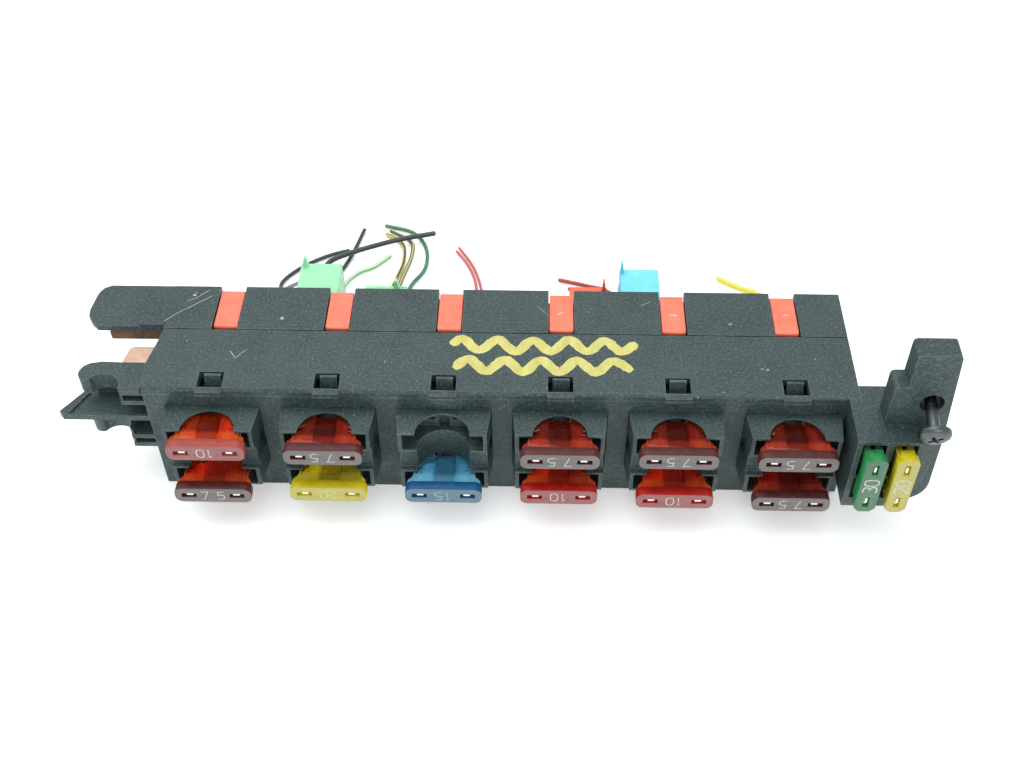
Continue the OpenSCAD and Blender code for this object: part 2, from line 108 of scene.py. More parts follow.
def arc(centre, radius, start, end, steps=8):
    points = []
    for i in range(steps + 1):
        a = math.radians(start + (end - start) * i / steps)
        points.append((centre[0] + radius * math.cos(a), centre[1] + radius * math.sin(a)))
    return points


def rounded_rect(width, height, radius, steps=8):
    x, y = width / 2 - radius, height / 2 - radius
    return (arc((x, -y), radius, -90, 0, steps) + arc((x, y), radius, 0, 90, steps)
            + arc((-x, y), radius, 90, 180, steps) + arc((-x, -y), radius, 180, 270, steps))


def boolean(target, cutter, operation="DIFFERENCE"):
    """Applies a boolean to the target object and deletes the cutter."""
    modifier = target.modifiers.new("cut", "BOOLEAN")
    modifier.operation = operation
    modifier.solver = "EXACT"
    modifier.object = cutter
    apply_modifiers(target)
    bpy.data.objects.remove(cutter)


def apply_modifiers(obj):
    depsgraph = bpy.context.evaluated_depsgraph_get()
    depsgraph.update()
    mesh = bpy.data.meshes.new_from_object(obj.evaluated_get(depsgraph))
    obj.modifiers.clear()
    obj.data = mesh


def soften(obj, width, segments=2, angle=35):
    """Rounds the hard edges of a CAD node or piece, in millimetres."""
    weld = obj.modifiers.new("weld", "WELD")
    weld.merge_threshold = 0.005 * MM
    bevel = obj.modifiers.new("edges", "BEVEL")
    bevel.width = width * MM
    bevel.segments = segments
    bevel.limit_method = "ANGLE"
    bevel.angle_limit = math.radians(angle)
    bevel.harden_normals = True
    bevel.use_clamp_overlap = True


# ---------------------------------------------------------------- camera and light

def make_camera():
    data = bpy.data.cameras.new("camera")
    data.sensor_width = 36.0
    data.lens = 45.76
    data.clip_start = 0.01
    data.clip_end = 10.0
    camera = bpy.data.objects.new("camera", data)
    bpy.context.scene.collection.objects.link(camera)
    turn = Euler((math.radians(43.18), 0.0, math.radians(1.488))).to_matrix().to_4x4()
    roll = Matrix.Rotation(math.radians(-0.273), 4, "Z")
    camera.matrix_world = Matrix.Translation(mm(8.11, -233.16, 268.25)) @ turn @ roll
    bpy.context.scene.camera = camera


def area_light(name, place, target, size, power, colour=(1, 1, 1)):
    data = bpy.data.lights.new(name, "AREA")
    data.shape = "RECTANGLE"
    data.size, data.size_y = size
    data.energy = power
    data.color = colour
    light = bpy.data.objects.new(name, data)
    bpy.context.scene.collection.objects.link(light)
    light.location = place
    light.rotation_euler = (Vector(target) - Vector(place)).to_track_quat("-Z", "Y").to_euler()


def make_stage():
    scene = bpy.context.scene
    scene.view_settings.view_transform = "Standard"
    world = bpy.data.worlds.new("studio")
    scene.world = world
    world.use_nodes = True
    background = world.node_tree.nodes["Background"]
    background.inputs["Color"].default_value = (0.95, 0.98, 1.0, 1)
    background.inputs["Strength"].default_value = 1.0
    area_light("softbox_top", (-0.15, 0.10, 0.85), (0, 0, 0), (0.9, 0.7), 5.0, (0.9, 1.0, 1.0))
    area_light("softbox_front", (0.25, -0.75, 0.55), (0, 0, 0.02), (0.7, 0.5), 2.2)
    mesh = bpy.data.meshes.new("floor")
    half = 1.5
    mesh.from_pydata([(-half, -half, 0), (half, -half, 0), (half, half, 0), (-half, half, 0)], [],
                     [(0, 1, 2, 3)])
    floor = link("floor", mesh)
    floor.location.z = -0.0001
    mesh.materials.append(floor_material())


# ---------------------------------------------------------------- material tools

class Look:
    """A node material under construction, with short calls for the nodes it uses."""

    def __init__(self, name, roughness=0.5, **values):
        self.material = bpy.data.materials.new(name)
        self.material.use_nodes = True
        self.tree = self.material.node_tree
        self.shader = self.tree.nodes["Principled BSDF"]
        self.set("Roughness", roughness)
        for key, value in values.items():
            self.set(key.replace("_", " ").title().replace("Ior", "IOR"), value)
        self.coords = self.node("ShaderNodeTexCoord").outputs["Object"]

    def set(self, socket, value):
        target = self.shader.inputs[socket]
        if isinstance(value, bpy.types.NodeSocket):
            self.tree.links.new(value, target)
        else:
            target.default_value = value

    def node(self, kind, **inputs):
        made = self.tree.nodes.new(kind)
        for key, value in inputs.items():
            socket = made.inputs[key]
            if isinstance(value, bpy.types.NodeSocket):
                self.tree.links.new(value, socket)
            else:
                socket.default_value = value
        return made

    def noise(self, scale, detail=3.0, roughness=0.5, stretch=None):
        vector = self.coords
        if stretch:
            mapping = self.node("ShaderNodeMapping", Vector=vector, Scale=stretch)
            vector = mapping.outputs["Vector"]
        return self.node("ShaderNodeTexNoise", Vector=vector, Scale=scale, Detail=detail,
                         Roughness=roughness).outputs["Fac"]

    def spots(self, scale, radius, share):
        """Small round specks: a share of the cells of a Voronoi texture hold one."""
        cell = self.node("ShaderNodeTexVoronoi", Vector=self.coords, Scale=scale)
        near = self.math("LESS_THAN", cell.outputs["Distance"], radius)
        split = self.tree.nodes.new("ShaderNodeSeparateColor")
        self.tree.links.new(cell.outputs["Color"], split.inputs["Color"])
        chosen = self.math("LESS_THAN", split.outputs["Red"], share)
        return self.math("MULTIPLY", near, chosen)

    def math(self, operation, a, b, clamp=False):
        made = self.tree.nodes.new("ShaderNodeMath")
        made.operation = operation
        made.use_clamp = clamp
        for socket, value in zip(made.inputs, (a, b)):
            if isinstance(value, bpy.types.NodeSocket):
                self.tree.links.new(value, socket)
            else:
                socket.default_value = value
        return made.outputs[0]

    def band(self, value, low, high, out_low=0.0, out_high=1.0):
        made = self.node("ShaderNodeMapRange")
        made.clamp = True
        self.tree.links.new(value, made.inputs["Value"])
        made.inputs["From Min"].default_value = low
        made.inputs["From Max"].default_value = high
        made.inputs["To Min"].default_value = out_low
        made.inputs["To Max"].default_value = out_high
        return made.outputs["Result"]

    def mix(self, factor, a, b):
        made = self.tree.nodes.new("ShaderNodeMix")
        made.data_type = "RGBA"
        for socket, value in ((made.inputs["Factor"], factor), (made.inputs[6], a),
                              (made.inputs[7], b)):
            if isinstance(value, bpy.types.NodeSocket):
                self.tree.links.new(value, socket)
            else:
                socket.default_value = value if isinstance(value, float) else (*value, 1)
        return made.outputs[2]

    def edges(self, radius):
        """One along convex and concave edges, fading to zero on the flats."""
        round_normal = self.node("ShaderNodeBevel", Radius=radius)
        true_normal = self.node("ShaderNodeNewGeometry")
        facing = self.tree.nodes.new("ShaderNodeVectorMath")
        facing.operation = "DOT_PRODUCT"
        self.tree.links.new(round_normal.outputs["Normal"], facing.inputs[0])
        self.tree.links.new(true_normal.outputs["Normal"], facing.inputs[1])
        return self.band(facing.outputs["Value"], 0.80, 0.985, 1.0, 0.0)

    def upward(self):
        """One on faces that look up, zero on the sides."""
        split = self.node("ShaderNodeSeparateXYZ",
                          Vector=self.node("ShaderNodeTexCoord").outputs["Normal"])
        return self.band(split.outputs["Z"], 0.6, 0.9)

    def bump(self, height, distance, strength=1.0, under=None):
        made = self.node("ShaderNodeBump", Height=height, Distance=distance, Strength=strength)
        if under is not None:
            self.tree.links.new(under, made.inputs["Normal"])
        return made.outputs["Normal"]

    def axis(self, name):
        split = self.node("ShaderNodeSeparateXYZ", Vector=self.coords)
        return split.outputs[name]


FLOOR_GLOW = 0.27      # lifts the shadows, as the pale room around the panel does


def floor_material():
    look = Look("floor_white", roughness=0.6)
    look.set("Base Color", look.mix(look.noise(9.0), (0.90, 0.91, 0.92), (0.93, 0.94, 0.95)))
    look.set("Normal", look.bump(look.noise(900.0), 0.00002))
    look.set("Emission Color", (0.95, 0.96, 0.92, 1))
    look.set("Emission Strength", FLOOR_GLOW)
    return look.material


# Edge colour: a painted highlight along the edges, together with wear; the speck colour is dust.
EDGE_HIGHLIGHT_AND_WEAR, DUST_SPECK = (0.16, 0.20, 0.20), (0.38, 0.43, 0.42)


def moulded(name, dark, light, dust, roughness=0.5, specks=0.34):
    """Moulded plastic: spark-eroded grain, faint mottling, edges painted lighter (painted highlight together
    with wear), scuffs and dust specks.
    """
    look = Look(name)
    mottle = look.noise(170.0, 4.0, 0.6)
    clouds = look.noise(24.0, 3.0, 0.5)
    grain = look.noise(1500.0, 2.0, 0.6)
    colour = look.mix(look.band(mottle, 0.35, 0.7), dark, light)
    colour = look.mix(look.band(clouds, 0.42, 0.85, 0.0, 0.4), colour, dust)
    colour = look.mix(look.band(grain, 0.46, 0.74, 0.0, 0.9), colour, [1.35 * c for c in dust])
    # Painted highlight: edges are painted lighter, mixed with wear where the mottling allows.
    edge_highlight_and_wear = look.math("MULTIPLY", look.edges(0.0004), look.band(mottle, 0.38, 0.68, 0.15, 0.8))
    colour = look.mix(edge_highlight_and_wear, colour, EDGE_HIGHLIGHT_AND_WEAR)
    speck = look.math("ADD", look.spots(420.0, 0.045, specks), look.spots(190.0, 0.035, specks), True)
    speck = look.math("ADD", speck, look.spots(760.0, 0.07, specks), True)
    colour = look.mix(look.math("MULTIPLY", speck, 0.7), colour, DUST_SPECK)
    look.set("Base Color", colour)
    scuff = look.noise(60.0, 5.0, 0.7, stretch=(1.0, 0.25, 1.0))
    look.set("Roughness", look.band(scuff, 0.3, 0.75, roughness - 0.08, roughness + 0.12))
    fine = look.bump(look.noise(2600.0, 2.0), 0.00006, 0.6)
    look.set("Normal", look.bump(mottle, 0.00008, 0.5, under=fine))
    return look.material


def satin(name, base, deep, roughness=0.35, mottle=260.0):
    """Smooth coloured plastic with slight unevenness."""
    look = Look(name)
    look.set("Base Color", look.mix(look.band(look.noise(mottle, 3.0), 0.3, 0.75), deep, base))
    look.set("Roughness", look.band(look.noise(90.0, 4.0), 0.3, 0.7, roughness - 0.06,
                                    roughness + 0.1))
    look.set("Normal", look.bump(look.noise(1500.0, 2.0), 0.00003, 0.5))
    return look.material


def metal(name, base, dull, roughness, tarnish=0.5, metallic=1.0):
    """Stamped metal with rolled streaks and some tarnish."""
    look = Look(name, metallic=metallic)
    patches = look.noise(120.0, 5.0, 0.65)
    look.set("Base Color", look.mix(look.band(patches, 0.4, 0.75, 0.0, tarnish), base, dull))
    streaks = look.noise(700.0, 3.0, 0.6, stretch=(0.08, 1.0, 1.0))
    look.set("Roughness", look.band(streaks, 0.3, 0.7, roughness - 0.08, roughness + 0.15))
    look.set("Normal", look.bump(streaks, 0.00002, 0.6))
    return look.material


def blanked_copper(name):
    """Copper strip: bright and scratched on top; the faces that don't look up are painted dark, as painted
    shade together with oxide on the cut edges.
    """
    look = Look(name, metallic=1.0)
    patches = look.noise(260.0, 5.0, 0.65)
    bright = look.mix(look.band(patches, 0.4, 0.7, 0.0, 0.6), (0.64, 0.43, 0.32), (0.46, 0.28, 0.20))
    # Painted shade: faces that don't look up take the dark colour, which also stands for oxide on the cut
    # edges.
    look.set("Base Color", look.mix(look.upward(), (0.16, 0.09, 0.06), bright))
    streaks = look.noise(700.0, 3.0, 0.6, stretch=(0.08, 1.0, 1.0))
    look.set("Roughness", look.band(streaks, 0.3, 0.7, 0.35, 0.6))
    look.set("Normal", look.bump(streaks, 0.00003, 0.6))
    return look.material


def clear_plastic(name, base, deep):
    """Clear tinted plastic of a fuse's body, with faint flow lines and painted shade down its middle."""
    look = Look(name, ior=1.49)
    look.set("Transmission Weight", look.band(look.axis("Y"), 0.0048, 0.0058, 0.5, 0.86))
    flow = look.noise(420.0, 3.0, 0.6, stretch=(1.0, 0.3, 1.0))
    colour = look.mix(look.band(flow, 0.35, 0.7), deep, base)
    # Painted shade: the base colour darkens down the middle, where the hollow between the blades lies.
    middle = look.band(look.math("ABSOLUTE", look.axis("X"), 0.0), 0.0023, 0.003, 0.9, 0.0)
    look.set("Base Color", look.mix(middle, colour, [0.6 * c for c in deep]))
    look.set("Roughness", look.band(look.noise(500.0, 3.0), 0.35, 0.7, 0.04, 0.16))
    look.set("Normal", look.bump(flow, 0.00004, 0.6))
    return look.material


def flange(name, base, deep):
    """Solid edge of a fuse's head: thick tinted plastic, so it reads almost opaque."""
    look = Look(name, ior=1.49)
    look.set("Transmission Weight", 0.1)
    look.set("Specular IOR Level", 0.18)
    scrape = look.noise(480.0, 4.0, 0.7, stretch=(1.0, 1.0, 2.5))
    look.set("Base Color", look.mix(look.band(scrape, 0.35, 0.68), deep, base))
    look.set("Roughness", look.band(scrape, 0.3, 0.7, 0.28, 0.5))
    look.set("Normal", look.bump(scrape, 0.00004, 0.6))
    return look.material


def worn_face(name, base, grey, wear):
    """Front face of a fuse: frosted, speckled and worn grey by rubbing in patches, paler along its rim."""
    look = Look(name, ior=1.49)
    look.set("Transmission Weight", 0.2)
    rub = look.noise(750.0, 5.0, 0.75)
    pale = [min(1.0, 1.55 * c) for c in grey]
    colour = look.mix(look.band(rub, 0.34, 0.62, wear * 0.55, wear), base, grey)
    colour = look.mix(look.band(look.noise(2400.0, 3.0, 0.7), 0.5, 0.68, 0.0, 0.6), colour, pale)
    look.set("Base Color", look.mix(look.math("MULTIPLY", look.edges(0.0003), 0.55), colour, pale))
    look.set("Roughness", look.band(rub, 0.3, 0.7, 0.3, 0.55))
    look.set("Normal", look.bump(rub, 0.00005, 0.7))
    return look.material


def wire_skin(name, base, deep):
    look = Look(name)
    look.set("Base Color", look.mix(look.noise(500.0, 3.0), deep, base))
    look.set("Roughness", look.band(look.noise(300.0, 3.0), 0.3, 0.7, 0.24, 0.4))
    look.set("Normal", look.bump(look.noise(1800.0, 2.0), 0.00002, 0.4))
    return look.material


def paint():
    """Brushed-on marker paint: uneven coat, thin at the edges, slightly cracked."""
    look = Look("marker_paint")
    streaks = look.noise(420.0, 4.0, 0.7, stretch=(1.0, 0.35, 1.0))
    look.set("Base Color", look.mix(look.band(streaks, 0.35, 0.65), (0.44, 0.385, 0.09),
                                    (0.56, 0.51, 0.16)))
    look.set("Roughness", look.band(streaks, 0.3, 0.7, 0.4, 0.6))
    look.set("Normal", look.bump(streaks, 0.00006, 0.8))
    return look.material


MATERIALS = {}


def make_materials():
    black = ((0.0125, 0.024, 0.024), (0.023, 0.039, 0.039), (0.046, 0.070, 0.070))
    MATERIALS.update({
        "black_plastic": moulded("black_plastic", *black),
        "lock_plastic": satin("lock_plastic", (0.85, 0.19, 0.11), (0.78, 0.14, 0.08), 0.34),
        "green_connector": satin("green_connector", (0.34, 0.72, 0.42), (0.27, 0.62, 0.35)),
        "blue_connector": satin("blue_connector", (0.20, 0.66, 0.82), (0.14, 0.55, 0.74)),
        "red_connector": satin("red_connector", (0.80, 0.16, 0.08), (0.66, 0.10, 0.05)),
        "black_connector": moulded("black_connector", *black, roughness=0.45, specks=0.06),
        "tinned_metal": metal("tinned_metal", (0.90, 0.90, 0.87), (0.66, 0.65, 0.60), 0.45, metallic=0.45),
        "copper": blanked_copper("copper"),
        # The upper busbar's darker copper: painted shade under the lug, together with heavy tarnish.
        "copper_dark": metal("copper_dark", (0.27, 0.15, 0.10), (0.08, 0.045, 0.03), 0.45, 0.9),
        "screw_steel": metal("screw_steel", (0.10, 0.11, 0.11), (0.035, 0.04, 0.04), 0.3),
        "core_copper": metal("core_copper", (0.85, 0.45, 0.25), (0.5, 0.25, 0.12), 0.35),
        "black_wire": wire_skin("black_wire", (0.038, 0.050, 0.048), (0.020, 0.028, 0.027)),
        "grey_wire": wire_skin("grey_wire", (0.13, 0.14, 0.14), (0.08, 0.09, 0.09)),
        "light_green_wire": wire_skin("light_green_wire", (0.22, 0.50, 0.18), (0.15, 0.38, 0.12)),
        "white_stripe": wire_skin("white_stripe", (0.70, 0.74, 0.66), (0.56, 0.62, 0.52)),
        "yellow_stripe": wire_skin("yellow_stripe", (0.62, 0.52, 0.07), (0.45, 0.36, 0.05)),
        "dark_green_wire": wire_skin("dark_green_wire", (0.07, 0.23, 0.12), (0.035, 0.14, 0.07)),
        "red_wire": wire_skin("red_wire", (0.50, 0.07, 0.06), (0.36, 0.04, 0.035)),
        "pale_red_wire": wire_skin("pale_red_wire", (0.60, 0.14, 0.13), (0.46, 0.10, 0.09)),
        "yellow_wire": wire_skin("yellow_wire", (0.84, 0.70, 0.08), (0.70, 0.55, 0.05)),
        "marker_paint": paint(),
        "scuff_grey": satin("scuff_grey", (0.33, 0.37, 0.36), (0.20, 0.23, 0.23), 0.6),
        "scuff_pale": satin("scuff_pale", (0.66, 0.52, 0.38), (0.45, 0.38, 0.30), 0.6),
        "print_white": satin("print_white", (0.55, 0.53, 0.50), (0.38, 0.36, 0.34), 0.5, 900.0),
        "print_yellow": satin("print_yellow", (0.60, 0.57, 0.26), (0.50, 0.46, 0.16), 0.5, 900.0),
        "print_blue": satin("print_blue", (0.30, 0.42, 0.48), (0.17, 0.30, 0.38), 0.5, 900.0),
        "red_face": worn_face("red_face", (0.34, 0.045, 0.045), (0.26, 0.125, 0.12), 0.8),
        "brown_face": worn_face("brown_face", (0.11, 0.055, 0.05), (0.16, 0.15, 0.143), 0.95),
        "yellow_face": worn_face("yellow_face", (0.52, 0.44, 0.03), (0.42, 0.39, 0.14), 0.75),
        "blue_face": worn_face("blue_face", (0.03, 0.17, 0.27), (0.12, 0.18, 0.20), 0.85),
        "green_face": worn_face("green_face", (0.03, 0.16, 0.06), (0.10, 0.17, 0.115), 0.7),
        "pink_flange": flange("pink_flange", (0.37, 0.07, 0.05), (0.28, 0.04, 0.03)),
    })
    for tint, (clear, clear_deep, solid, solid_deep) in TINTS.items():
        MATERIALS[tint + "_fuse"] = clear_plastic(tint + "_fuse", clear, clear_deep)
        MATERIALS[tint + "_flange"] = flange(tint + "_flange", solid, solid_deep)


# tint: (clear body, its deep shade, solid edge of the head, its deep shade)
TINTS = {
    "red": ((0.95, 0.15, 0.03), (0.82, 0.08, 0.02), (0.44, 0.016, 0.010), (0.30, 0.008, 0.005)),
    "brown": ((0.60, 0.075, 0.03), (0.44, 0.04, 0.02), (0.10, 0.025, 0.023), (0.06, 0.012, 0.012)),
    "yellow": ((0.93, 0.84, 0.08), (0.85, 0.72, 0.04), (0.62, 0.50, 0.012), (0.50, 0.39, 0.008)),
    "blue": ((0.30, 0.70, 0.86), (0.18, 0.54, 0.76), (0.008, 0.09, 0.23), (0.005, 0.055, 0.16)),
    "green": ((0.16, 0.62, 0.26), (0.09, 0.48, 0.17), (0.025, 0.27, 0.08), (0.015, 0.18, 0.05)),
}


def paint_node(name, material):
    data = NODES[name].data
    data.materials.clear()
    data.materials.append(MATERIALS[material])


# ---------------------------------------------------------------- wires

WIRE, THIN, FINE = 1.6, 1.2, 0.9
ROUTES = {
    "black_1": (THIN, [(-55, 34.3, 23), (-62, 47, 11), (-68.5, 54, 2), (-69, 59.5, 0.7), (-64, 66, 0.7),
                       (-57, 71.2, 0.7), (-50.5, 74, 0.7)]),
    "black_2": (WIRE, [(-53, 34.3, 20), (-55, 47, 10), (-57, 56, 3), (-56, 65, 2.9), (-50, 70, 2.9),
                       (-36, 76.5, 2.9), (-24, 80.1, 2.9)]),
    "black_3": (THIN, [(-50.5, 34.3, 23), (-52.5, 46, 11), (-54.5, 54, 2), (-53.5, 60.5, 0.7),
                       (-50.8, 67, 0.7), (-48.6, 75, 0.7), (-46.7, 84.1, 0.7)]),
    "green_white": (THIN, [(-47.5, 34.3, 23), (-48.5, 46, 11), (-50, 53, 2), (-50, 58.5, 0.7),
                           (-46.5, 63.7, 0.7), (-42, 66.5, 0.7), (-37.5, 71.5, 0.7)]),
    "yellow_black": (THIN, [(-35.5, 25.7, 24), (-36, 41, 12), (-36.8, 51, 2), (-34.8, 60.5, 0.7),
                            (-33.1, 69, 0.7), (-34, 77, 0.7), (-39.5, 82, 0.7)]),
    "grey_black": (THIN, [(-33, 25.7, 24), (-33.5, 41, 12), (-34.5, 51, 2), (-33, 61, 0.7),
                          (-30.9, 71, 0.7), (-31.5, 78.4, 0.7), (-38.3, 83.6, 0.7)]),
    "dark_green": (THIN, [(-30, 25.7, 24), (-30.8, 41, 12), (-31.5, 50, 2), (-29.8, 58.5, 0.7),
                          (-26.2, 66, 0.7), (-26.5, 75.3, 0.7), (-31, 82.8, 0.7), (-40.1, 86.1, 0.7)]),
    "red_fine_1": (FINE, [(-8, 24.5, 23), (-8.8, 39, 12), (-9.5, 50, 2), (-10.6, 60.5, 0.6),
                          (-13.1, 67.8, 0.6), (-16.9, 74.3, 0.6)]),
    "red_fine_2": (FINE, [(-5.5, 24.5, 23), (-6.3, 39, 12), (-7.5, 50, 2), (-9.3, 60.5, 0.6),
                          (-11.9, 68.2, 0.6), (-16.2, 75.9, 0.6)]),
    "red_1": (THIN, [(23.5, 26.2, 23), (27, 39, 12), (31, 48.5, 2), (31.8, 54, 0.7), (28.5, 57.4, 0.7),
                     (23.8, 59, 0.7), (14.9, 61.6, 0.7)]),
    "red_2": (THIN, [(21, 26.2, 23), (23.5, 39, 12), (27, 48.5, 2), (27.8, 53, 0.7), (25, 56, 0.7),
                     (17.9, 57.7, 0.7)]),
    "yellow": (WIRE, [(64.8, 24.5, 23), (69, 37, 12), (75, 46.5, 2.5), (77, 52, 0.9), (74.5, 56.3, 0.9),
                      (69, 59, 0.9), (63.3, 62.9, 0.9)]),
}
# wire: (CAD node, body, skin, stripe or none)
WIRES = {
    "black_1": ("wires_black", "connector_green_1_plug", "black_wire", None),
    "black_2": ("wires_black", "connector_green_1_plug", "black_wire", None),
    "black_3": ("wires_black", "connector_green_1_plug", "black_wire", None),
    "green_white": ("wire_green_white", "connector_green_1_plug", "light_green_wire", "white_stripe"),
    "yellow_black": ("wires_yellow_black", "connector_green_2_plug", "yellow_stripe", "black_wire"),
    "grey_black": ("wires_yellow_black", "connector_green_2_plug", "grey_wire", "yellow_stripe"),
    "dark_green": ("wire_dark_green", "connector_green_2_plug", "dark_green_wire", None),
    "red_fine_1": ("wires_red_fine", "connector_black_1_plug", "pale_red_wire", None),
    "red_fine_2": ("wires_red_fine", "connector_black_1_plug", "pale_red_wire", None),
    "red_1": ("wires_red", "connector_red_plug", "red_wire", None),
    "red_2": ("wires_red", "connector_red_plug", "red_wire", None),
    "yellow": ("wire_yellow", "connector_black_2_plug", "yellow_wire", None),
}


def smooth_route(points, radius, steps=5):
    """A smooth curve through the route, in metres: straight out of the exit, never under the floor."""
    points = [Vector(p) for p in points]
    slopes = [Vector((0, 1, 0)) * (points[1] - points[0]).length * 1.1]
    for before, after in zip(points, points[2:]):
        slopes.append((after - before) / 2)
    slopes.append(points[-1] - points[-2])
    path = []
    for i in range(len(points) - 1):
        p0, p1, m0, m1 = points[i], points[i + 1], slopes[i], slopes[i + 1]
        for k in range(steps):
            t = k / steps
            place = ((2 * t ** 3 - 3 * t ** 2 + 1) * p0 + (t ** 3 - 2 * t ** 2 + t) * m0
                     + (3 * t ** 2 - 2 * t ** 3) * p1 + (t ** 3 - t ** 2) * m1)
            place.z = max(place.z, radius + 0.05)
            path.append(place * MM)
    path.append(points[-1] * MM)
    return path


def tube(bm, path, radius, sides, material=0, stripes=()):
    """Sweeps a round tube; stripes are the numbers of the sides that take the stripe material."""
    rings = []
    up = Vector((0, 0, 1))
    for i, place in enumerate(path):
        ahead = path[min(i + 1, len(path) - 1)] - path[max(i - 1, 0)]
        ahead.normalize()
        side = ahead.cross(up).normalized()
        up = side.cross(ahead).normalized()
        ring = []
        for k in range(sides):
            a = 2 * math.pi * k / sides
            ring.append(bm.verts.new(place + (side * math.cos(a) + up * math.sin(a)) * radius))
        rings.append(ring)
    for near, far in zip(rings, rings[1:]):
        for k in range(sides):
            n = (k + 1) % sides
            face = bm.faces.new((near[k], near[n], far[n], far[k]))
            face.material_index = 1 if k in stripes else material
    for ring, flip in ((rings[0], True), (rings[-1], False)):
        face = bm.faces.new(ring[::-1] if flip else ring)
        face.material_index = material
    return rings


def wire(name):
    node, body, skin, stripe = WIRES[name]
    diameter, points = ROUTES[name]
    radius = diameter / 2
    path = smooth_route(points, radius)
    bm = bmesh.new()
    sides = 16
    tube(bm, path, radius * MM, sides, 0, (2, 3, 10, 11) if stripe else ())
    ahead = (path[-1] - path[-2]).normalized()
    strands(bm, path[-1], ahead, radius * 0.62, 2)
    mesh = from_bmesh(name, bm, 40)
    for used in (skin, stripe or skin, "core_copper"):
        mesh.materials.append(MATERIALS[used])
    piece = link("wire_" + name, mesh, body)
    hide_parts(node)


def strands(bm, place, ahead, reach, material):
    """The cut copper strands at a wire's end: one in the middle and six round it."""
    side = ahead.cross(Vector((0, 0, 1))).normalized()
    up = side.cross(ahead)
    thickness = reach * 0.3
    centres = [(0, 0)] + [(math.cos(math.radians(a)), math.sin(math.radians(a)))
                          for a in range(0, 360, 60)]
    for i, (u, v) in enumerate(centres):
        start = place + (side * u + up * v) * reach * 0.64 * MM - ahead * 0.4 * MM
        end = start + ahead * (0.65 + 0.12 * (i % 3)) * MM
        tube(bm, [start, end], thickness * MM, 6, material)


# ---------------------------------------------------------------- fuses

# A regular blade fuse, in millimetres
FUSE_WIDTH, FUSE_THICK, FUSE_DEPTH, FUSE_FULL = 19.1, 5.1, 12.3, 19.0
HEAD_DEPTH, WAIST_HALF, WAIST_LEVEL, SHOULDER_LEVEL = 2.6, 7.75, 2.2, 1.7
BLADE_X, BLADE_HALF, BLADE_LEVEL, BLADE_START = 5.0, 2.6, 0.35, 0.9
ROUND_CORNER, CUT_CORNER = (1.9, 8), (1.25, 1)      # radius and steps; one step cuts it straight
FRONT_PRINT, UPRIGHT_PRINT = (2.9, 0.24), (3.4, 0.34)      # height and width of the strokes

STROKES = {
    "0": [[(0.0, 0.3), (0.0, 0.7), (0.14, 0.93), (0.5, 1.0), (0.86, 0.93), (1.0, 0.7), (1.0, 0.3),
           (0.86, 0.07), (0.5, 0.0), (0.14, 0.07), (0.0, 0.3)]],
    "1": [[(0.25, 0.75), (0.62, 1.0), (0.62, 0.0)]],
    "2": [[(0.0, 0.78), (0.2, 0.97), (0.55, 1.0), (0.9, 0.88), (0.95, 0.65), (0.7, 0.42), (0.0, 0.0),
           (1.0, 0.0)]],
    "3": [[(0.0, 0.95), (0.5, 1.0), (0.92, 0.86), (0.9, 0.62), (0.45, 0.53), (0.95, 0.42),
           (0.98, 0.14), (0.5, 0.0), (0.0, 0.06)]],
    "5": [[(0.95, 1.0), (0.15, 1.0), (0.08, 0.56), (0.55, 0.62), (0.95, 0.45), (0.95, 0.15),
           (0.55, 0.0), (0.0, 0.06)]],
    "7": [[(0.0, 1.0), (1.0, 1.0), (0.35, 0.0)]],
    ".": [[(0.0, 0.0), (0.14, 0.0)]],
}


def thicken(bm, offset):
    """Makes flat faces into closed solids by extruding them, in millimetres."""
    made = bmesh.ops.extrude_face_region(bm, geom=list(bm.faces), use_keep_orig=True)["geom"]
    verts = [g for g in made if isinstance(g, bmesh.types.BMVert)]
    bmesh.ops.translate(bm, verts=verts, vec=mm(*offset))


def ribbon(bm, points, width, place, level):
    """A flat stroke along a polyline with mitred joints; place turns (u, v, level) into millimetres."""
    left, right = [], []
    for i, point in enumerate(points):
        back = Vector(points[max(i - 1, 0)])
        ahead = Vector(points[min(i + 1, len(points) - 1)])
        here = Vector(point)
        d1 = (here - back).normalized() if i else (ahead - here).normalized()
        d2 = (ahead - here).normalized() if i < len(points) - 1 else d1
        tangent = (d1 + d2).normalized()
        normal = Vector((-tangent.y, tangent.x))
        stretch = min(1.0 / max(normal.dot(Vector((-d1.y, d1.x))), 0.5), 1.6)
        half = width / 2 * stretch
        left.append(bm.verts.new(mm(*place(*(here + normal * half), level))))
        right.append(bm.verts.new(mm(*place(*(here - normal * half), level))))
    for i in range(len(points) - 1):
        bm.faces.new((left[i], right[i], right[i + 1], left[i + 1]))


def rating_mesh(text, spacing, height, stroke_width):
    """Raised print of the rating, centred on the fuse's front face; text is its digits."""
    bm = bmesh.new()
    widths = [0.4 if c == "." else height * 0.62 for c in text]
    total = sum(widths) + spacing * (len(text) - 1)
    x = -total / 2
    for char, width in zip(text, widths):
        for stroke in STROKES[char]:
            points = [(x + u * width, (v - 0.5) * height) for u, v in stroke]
            ribbon(bm, points, stroke_width, lambda u, v, w: (u, w, v), -0.02)
        x += width + spacing
    thicken(bm, (0, 0.04, 0))
    return from_bmesh("rating_" + text, bm)


